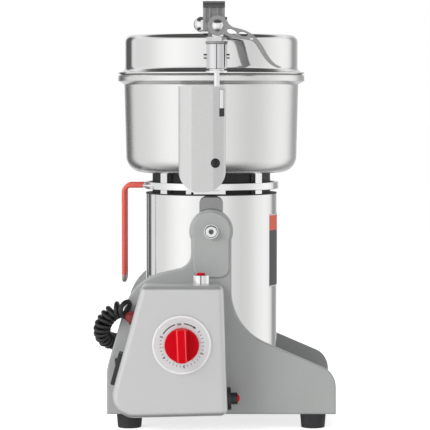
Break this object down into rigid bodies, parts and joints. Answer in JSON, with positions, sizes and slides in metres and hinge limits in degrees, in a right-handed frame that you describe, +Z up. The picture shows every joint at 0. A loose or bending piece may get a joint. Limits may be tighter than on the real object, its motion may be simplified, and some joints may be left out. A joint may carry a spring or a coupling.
{
  "type": "electric grain mill",
  "caption": "Bench grain mill: tilting steel bowl on a motor cylinder, swing lid with a latch lever, and a control box with knob, buttons and switch.",
  "frame": {"origin": "on the table under the middle of the mill's outline, without the curly lead", "axes": "+Z up; -Y towards the control box and timer knob; +X is the side the bowl tips to"},
  "size_m": [0.2895, 0.291, 0.506],
  "materials": {
    "stand_grey": "grey hammer-tone enamel on aluminium castings",
    "box_silver": "silver hammer-tone enamel",
    "polished_steel": "mirror-polished stainless steel",
    "brushed_steel": "stainless steel brushed round the axis",
    "satin_casting": "satin silver casting",
    "chrome": "bright chrome plate",
    "zinc_steel": "zinc-plated steel",
    "black_casting": "black enamel on an aluminium casting",
    "core_steel": "stacked steel laminations",
    "copper": "enamelled copper winding",
    "brass": "turned brass",
    "carbon": "pressed carbon",
    "dial_silver": "satin aluminium with a black printed scale",
    "red_gloss": "glossy red plastic",
    "red_sleeve": "soft red vinyl sleeve",
    "dark_red": "dark red plastic",
    "black_plastic": "black moulded plastic",
    "black_rubber": "black rubber",
    "seal_rubber": "dark food-grade silicone",
    "cord_black": "black flexible cord sheath",
    "label_plate": "blank printed label in two plain colours"
  },
  "bodies": {
    "base": {"near_side_plate": "stand_grey", "far_side_plate": "stand_grey", "base_pan": "stand_grey", "rubber_feet": "black_rubber", "foot_screws": "zinc_steel", "pivot_bushes": "brass", "control_box_cover": "box_silver", "box_screws": "zinc_steel", "dial_plate": "dial_silver", "timer_body": "black_plastic", "rocker_frame": "black_plastic", "breaker_body": "black_plastic", "button_collar": "chrome", "box_cord_gland": "dark_red", "mains_cord_gland": "black_plastic", "curly_cord": "cord_black"},
    "timer": {"timer_knob": "red_gloss", "timer_spindle": "brass"},
    "rocker": {"power_rocker": "black_plastic"},
    "reset": {"reset_button": "red_gloss"},
    "push_button": {"button_cap": "red_gloss"},
    "mill": {"pivot_bolts": "zinc_steel", "trunnion_blocks": "satin_casting", "motor_tube": "polished_steel", "motor_bottom_cap": "black_casting", "motor_top_cap": "black_casting", "vent_ring": "chrome", "motor_bearings": "zinc_steel", "stator": "core_steel", "field_coils": "copper", "brush_holders": "brass", "carbon_brushes": "carbon", "handle_bar": "chrome", "handle_sleeves": "red_sleeve", "info_label": "label_plate", "motor_cord_gland": "black_plastic", "grinding_bowl": "brushed_steel", "shaft_seal": "seal_rubber", "bowl_screws": "brushed_steel", "lock_housing": "satin_casting", "housing_screw": "black_casting", "lid_switch": "black_plastic", "lift_spring": "zinc_steel"},
    "rotor": {"motor_shaft": "brushed_steel", "armature": "core_steel", "commutator": "copper", "cooling_fan": "black_plastic", "cutting_blades": "brushed_steel", "blade_spacers": "brushed_steel", "blade_nut": "chrome"},
    "rod": {"lock_rod": "chrome", "guide_slider": "black_plastic"},
    "lid": {"lid_shell": "polished_steel", "lid_gasket": "seal_rubber", "lid_bracket": "chrome", "lid_pin": "chrome", "lid_arm": "satin_casting", "clamp_sleeve": "chrome"},
    "latch": {"latch_lever": "satin_casting", "latch_pin": "chrome"}
  },
  "joints": [
    {"name": "tilt", "type": "hinge", "parent": "base", "child": "mill", "pos_m": [-0.012, 0.032, 0.235], "axis": [0, 1, 0], "range_deg": [0, 90], "deforming": ["curly_cord"]},
    {"name": "rotor_spin", "type": "hinge", "parent": "mill", "child": "rotor", "pos_m": [-0.012, 0.032, 0.3], "axis": [0, 0, 1], "continuous": true},
    {"name": "rod_slide", "type": "slide", "parent": "mill", "child": "rod", "axis": [0, 0, 1], "range_m": [0, 0.018], "stiffness_N_per_m": 250, "springref_m": 0.02, "deforming": ["lift_spring"]},
    {"name": "lid_swing", "type": "hinge", "parent": "rod", "child": "lid", "pos_m": [-0.0056, -0.095, 0.44], "axis": [0, 0, 1], "range_deg": [0, 120]},
    {"name": "latch_lift", "type": "hinge", "parent": "rod", "child": "latch", "pos_m": [-0.0044, -0.095, 0.4765], "axis": [0, -1, 0], "range_deg": [0, 95]},
    {"name": "timer_turn", "type": "hinge", "parent": "base", "child": "timer", "pos_m": [-0.046, -0.128, 0.1065], "axis": [0, 1, 0], "range_deg": [0, 300]},
    {"name": "rocker_rock", "type": "hinge", "parent": "base", "child": "rocker", "pos_m": [-0.12019, -0.096, 0.0755], "axis": [0, 1, 0], "range_deg": [0, 16]},
    {"name": "reset_press", "type": "slide", "parent": "base", "child": "reset", "axis": [-0.9994, 0, -0.0348], "range_m": [0, 0.002], "stiffness_N_per_m": 250},
    {"name": "button_press", "type": "slide", "parent": "base", "child": "push_button", "axis": [0, 0, -1], "range_m": [0, 0.002], "stiffness_N_per_m": 250}
  ]
}
